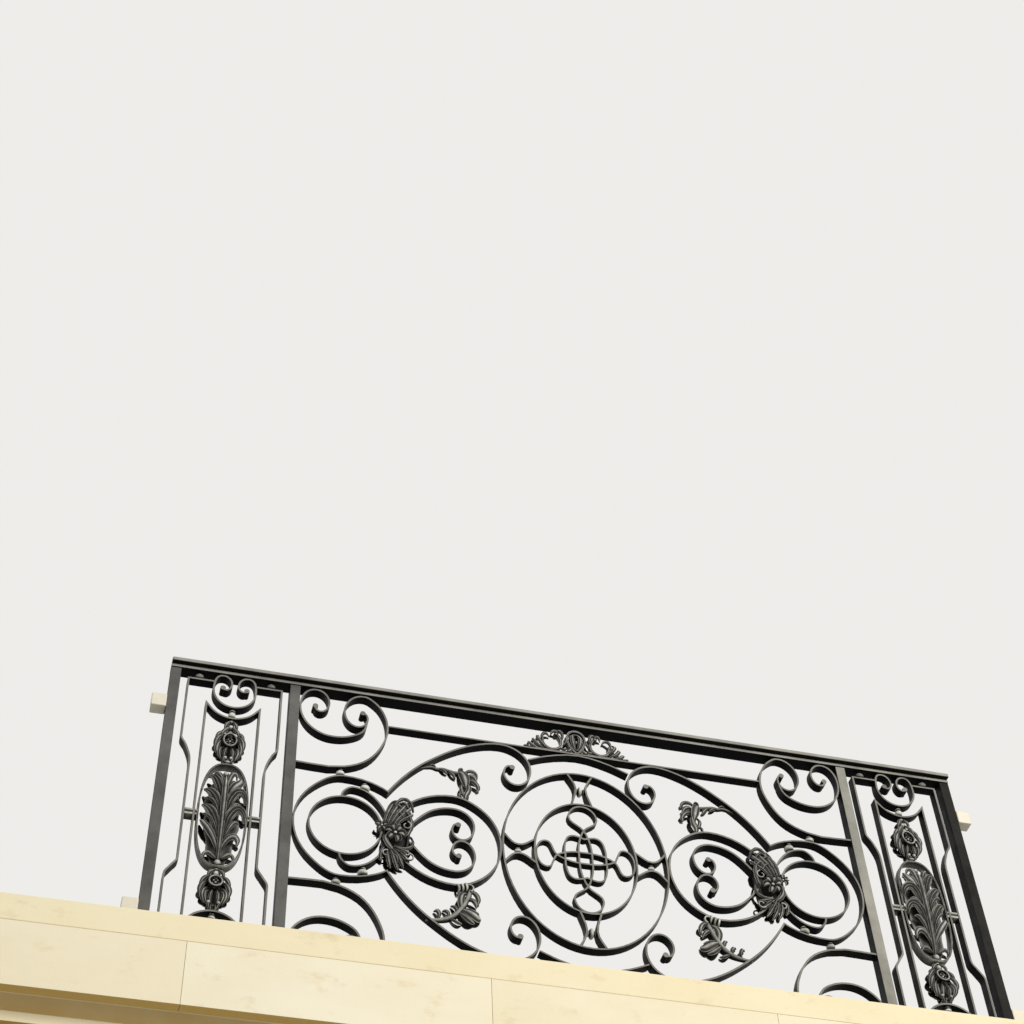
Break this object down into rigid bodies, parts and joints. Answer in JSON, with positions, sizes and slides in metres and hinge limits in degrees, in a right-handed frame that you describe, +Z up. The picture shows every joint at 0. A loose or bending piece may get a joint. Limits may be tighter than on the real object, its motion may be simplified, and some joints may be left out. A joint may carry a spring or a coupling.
{
  "type": "iron balcony with stone ledge",
  "caption": "Wrought iron balcony railing with scrollwork, rings and cast leaves on a moulded stone ledge, cut off at the wall.",
  "frame": {"origin": "middle of the slab's wall face, where the balcony is cut off at the wall", "axes": "+X along the railing to the right seen from outside, +Y into the wall, +Z up"},
  "size_m": [3.2, 0.461, 1.52],
  "materials": {
    "rail_iron": "satin black paint",
    "scroll_iron": "satin black paint, rubbed at the edges",
    "cast_iron": "graphite black paint on castings",
    "bracket_paint": "matt cream paint",
    "coping_stone": "honed limestone",
    "fascia_stone": "honed limestone, clouded",
    "moulding_stone": "honed limestone",
    "slab_concrete": "sawn raw concrete"
  },
  "bodies": {
    "root": {"handrail": "rail_iron", "under_rail": "rail_iron", "bottom_rail": "rail_iron", "left_end_post": "rail_iron", "left_inner_post": "rail_iron", "right_inner_post": "rail_iron", "right_end_post": "rail_iron", "foot_plates": "rail_iron", "wall_brackets": "bracket_paint", "panel_top_bar": "scroll_iron", "panel_bottom_bar": "scroll_iron", "upper_corner_scrolls": "scroll_iron", "lower_corner_scrolls": "scroll_iron", "big_ring": "scroll_iron", "small_ring": "scroll_iron", "ring_spreaders": "scroll_iron", "strap_knot": "scroll_iron", "brow_bars": "scroll_iron", "upper_arches": "scroll_iron", "lower_arches": "scroll_iron", "left_lobe": "scroll_iron", "right_lobe": "scroll_iron", "left_lobe_ring": "scroll_iron", "right_lobe_ring": "scroll_iron", "left_heart": "scroll_iron", "right_heart": "scroll_iron", "left_rosette": "cast_iron", "right_rosette": "cast_iron", "left_leaves": "cast_iron", "right_leaves": "cast_iron", "crest": "cast_iron", "ball_studs": "cast_iron", "left_side_frame": "scroll_iron", "right_side_frame": "scroll_iron", "left_side_scrolls": "scroll_iron", "right_side_scrolls": "scroll_iron", "left_side_roses": "cast_iron", "right_side_roses": "cast_iron", "left_acanthus": "cast_iron", "right_acanthus": "cast_iron", "floor_slab": "slab_concrete", "coping": "coping_stone", "fascia": "fascia_stone", "bed_moulding": "moulding_stone"}
  },
  "joints": []
}
